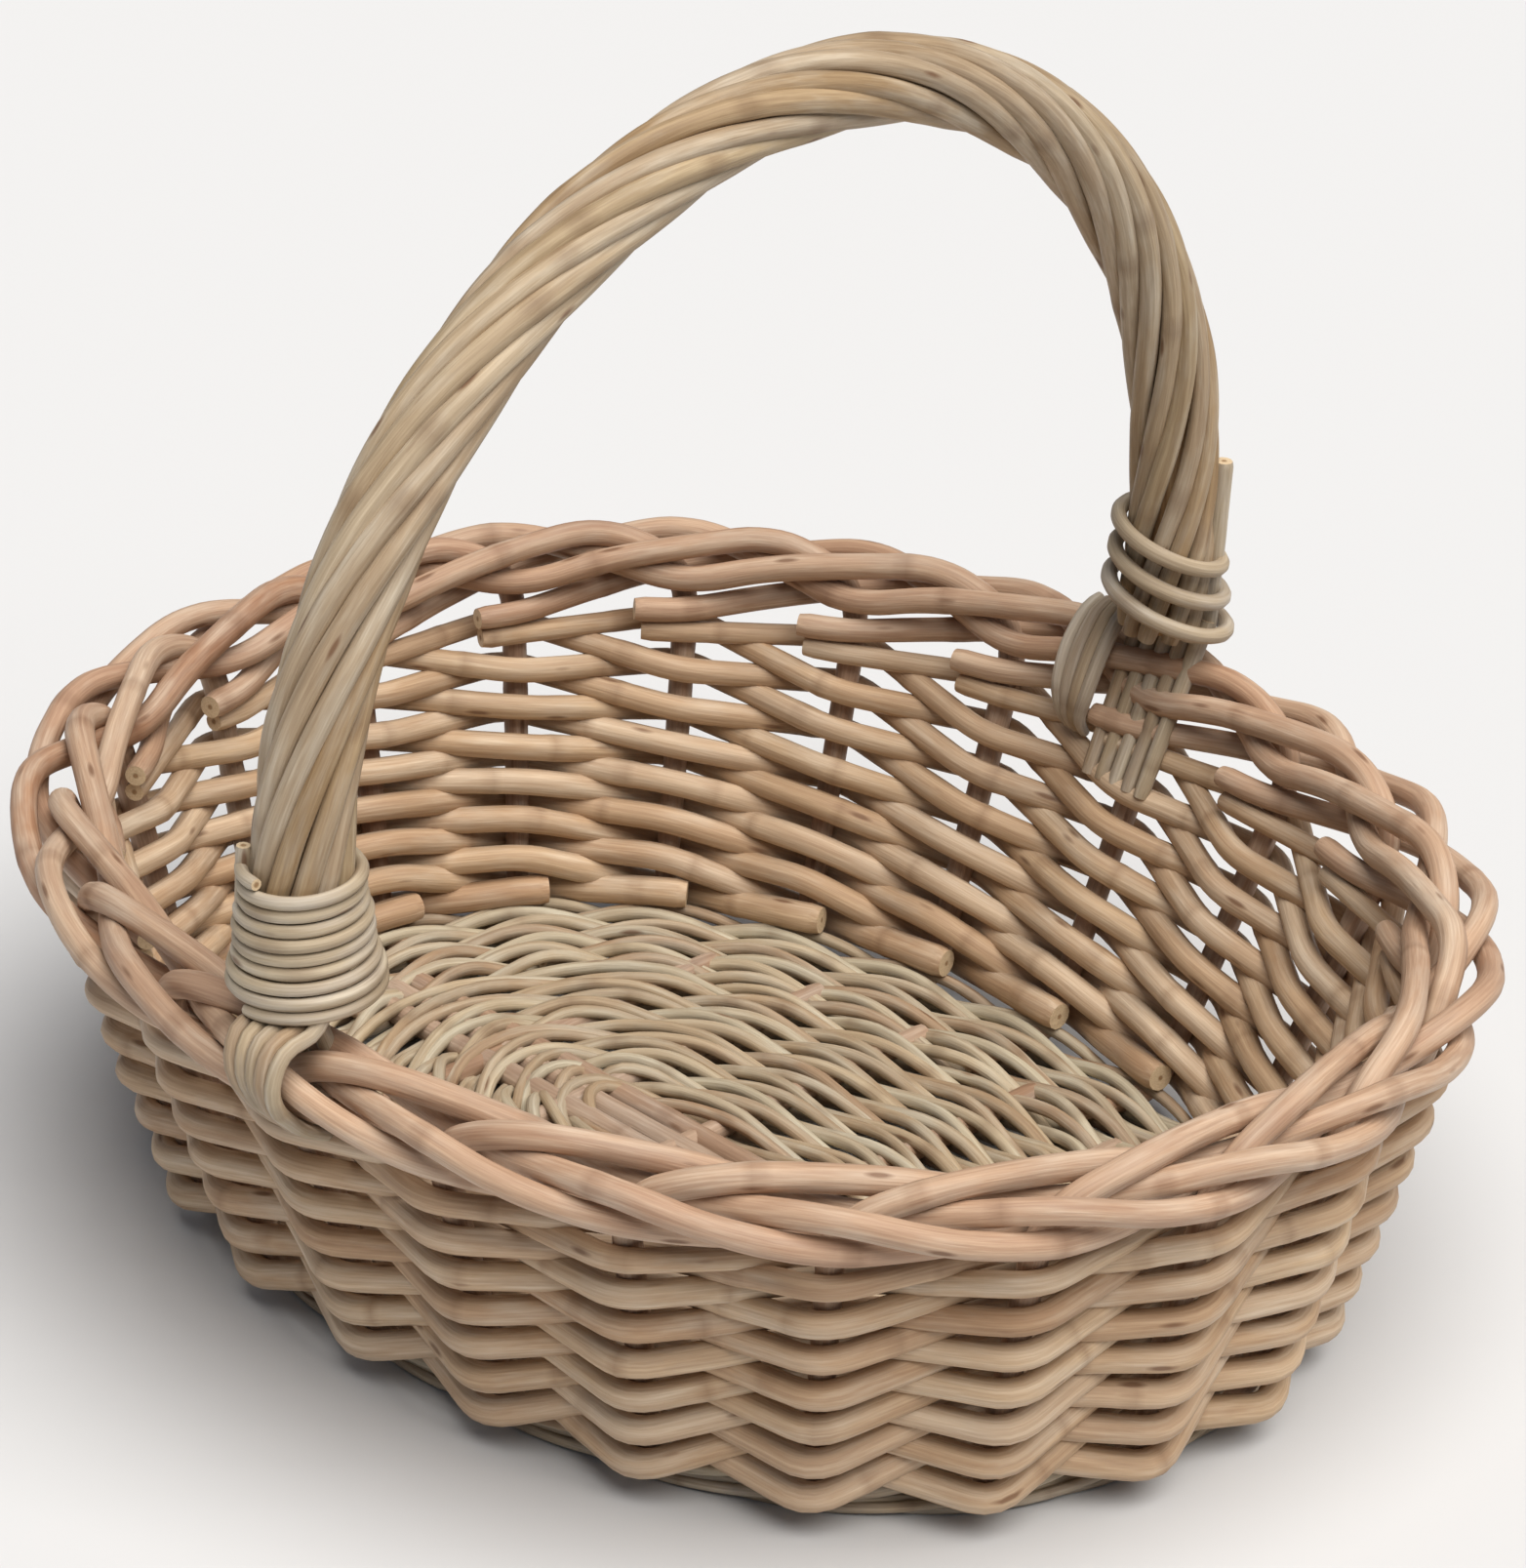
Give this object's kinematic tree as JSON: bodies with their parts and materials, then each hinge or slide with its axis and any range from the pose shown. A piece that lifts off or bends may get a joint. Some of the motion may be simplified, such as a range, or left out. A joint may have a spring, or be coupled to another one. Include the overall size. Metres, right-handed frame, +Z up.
{
  "type": "woven market basket",
  "caption": "Oval woven willow market basket with a rolled border and one fixed roped handle arching across its width.",
  "frame": {"origin": "on the floor, under the middle of the rim", "axes": "+Z up, X along the long way of the oval, Y along the plane of the handle arch"},
  "size_m": [0.407, 0.3834, 0.3382],
  "materials": {
    "stake_and_border": "peeled willow rod, satin",
    "wall_weave": "peeled willow rod, satin",
    "base_sticks": "peeled willow stick, matt",
    "base_weave": "peeled willow rod, satin",
    "handle_bow": "bent stick, matt",
    "handle_roping": "peeled willow rod, satin",
    "binding_rod": "thin peeled willow rod, satin"
  },
  "bodies": {
    "root": {"base_long_sticks": "base_sticks", "base_cross_sticks": "base_sticks", "base_weave": "base_weave", "foot_wale": "wall_weave", "handle_bow": "handle_bow", "handle_roping": "handle_roping", "near_foot_collar": "binding_rod", "far_foot_collar": "binding_rod", "near_foot_ties": "binding_rod", "far_foot_ties": "binding_rod", "side_stake_01": "stake_and_border", "side_stake_02": "stake_and_border", "side_stake_03": "stake_and_border", "side_stake_04": "stake_and_border", "side_stake_05": "stake_and_border", "side_stake_06": "stake_and_border", "side_stake_07": "stake_and_border", "side_stake_08": "stake_and_border", "side_stake_09": "stake_and_border", "side_stake_10": "stake_and_border", "side_stake_11": "stake_and_border", "side_stake_12": "stake_and_border", "side_stake_13": "stake_and_border", "side_stake_14": "stake_and_border", "side_stake_15": "stake_and_border", "side_stake_16": "stake_and_border", "side_stake_17": "stake_and_border", "side_stake_18": "stake_and_border", "side_stake_19": "stake_and_border", "side_stake_20": "stake_and_border", "side_stake_21": "stake_and_border", "side_stake_22": "stake_and_border", "weaver_01": "wall_weave", "weaver_02": "wall_weave", "weaver_03": "wall_weave", "weaver_04": "wall_weave", "weaver_05": "wall_weave", "weaver_06": "wall_weave", "weaver_07": "wall_weave", "weaver_08": "wall_weave", "weaver_09": "wall_weave", "weaver_10": "wall_weave", "weaver_11": "wall_weave", "weaver_12": "wall_weave", "weaver_13": "wall_weave", "weaver_14": "wall_weave", "weaver_15": "wall_weave", "weaver_16": "wall_weave", "weaver_17": "wall_weave", "weaver_18": "wall_weave", "weaver_19": "wall_weave", "weaver_20": "wall_weave", "weaver_21": "wall_weave", "weaver_22": "wall_weave"}
  },
  "joints": []
}
